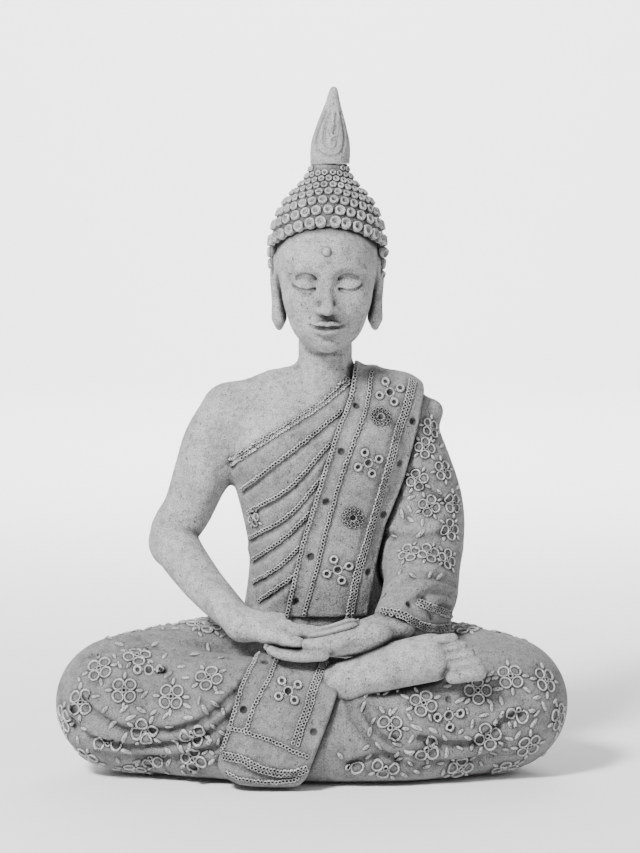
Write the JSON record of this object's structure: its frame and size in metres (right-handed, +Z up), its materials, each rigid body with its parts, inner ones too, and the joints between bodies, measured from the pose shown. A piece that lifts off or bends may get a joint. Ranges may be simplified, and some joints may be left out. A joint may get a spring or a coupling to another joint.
{
  "type": "seated buddha statue",
  "caption": "Seated meditating figure in grey cast stone with a bare right shoulder, patterned robe and sashes, crossed legs, curled hair and a flame finial that lifts off.",
  "frame": {"origin": "centre of the footprint, on the floor under the rest pads", "axes": "+Z up; the figure faces -Y; its own right hand is towards -X"},
  "size_m": [0.2928, 0.1626, 0.3913],
  "materials": {
    "stone": "matt grey cast stone with a dark wash in the recesses",
    "steel": "plain bright",
    "felt": "dense dark felt",
    "plate": "matt moulded resin"
  },
  "bodies": {
    "figure": {"lap_casting": "stone", "torso_casting": "stone", "head_casting": "stone", "hair_cap": "stone", "urna_bead": "stone", "right_arm": "stone", "left_sleeve": "stone", "right_hand": "stone", "left_hand": "stone", "right_foot": "stone", "shoulder_sash": "stone", "lap_sash": "stone", "base_plate": "plate", "base_screw_1": "steel", "base_screw_2": "steel", "base_screw_3": "steel", "base_screw_4": "steel", "rest_pad_1": "felt", "rest_pad_2": "felt", "rest_pad_3": "felt", "rest_pad_4": "felt", "waist_dowel_right": "steel", "waist_dowel_left": "steel", "neck_dowel": "steel", "right_arm_dowel": "steel", "left_arm_dowel": "steel"},
    "finial": {"flame_finial": "stone", "finial_dowel": "steel"}
  },
  "joints": [
    {"name": "finial_lift", "type": "slide", "parent": "figure", "child": "finial", "axis": [0, 0, 1], "range_m": [0, 0.022]}
  ]
}
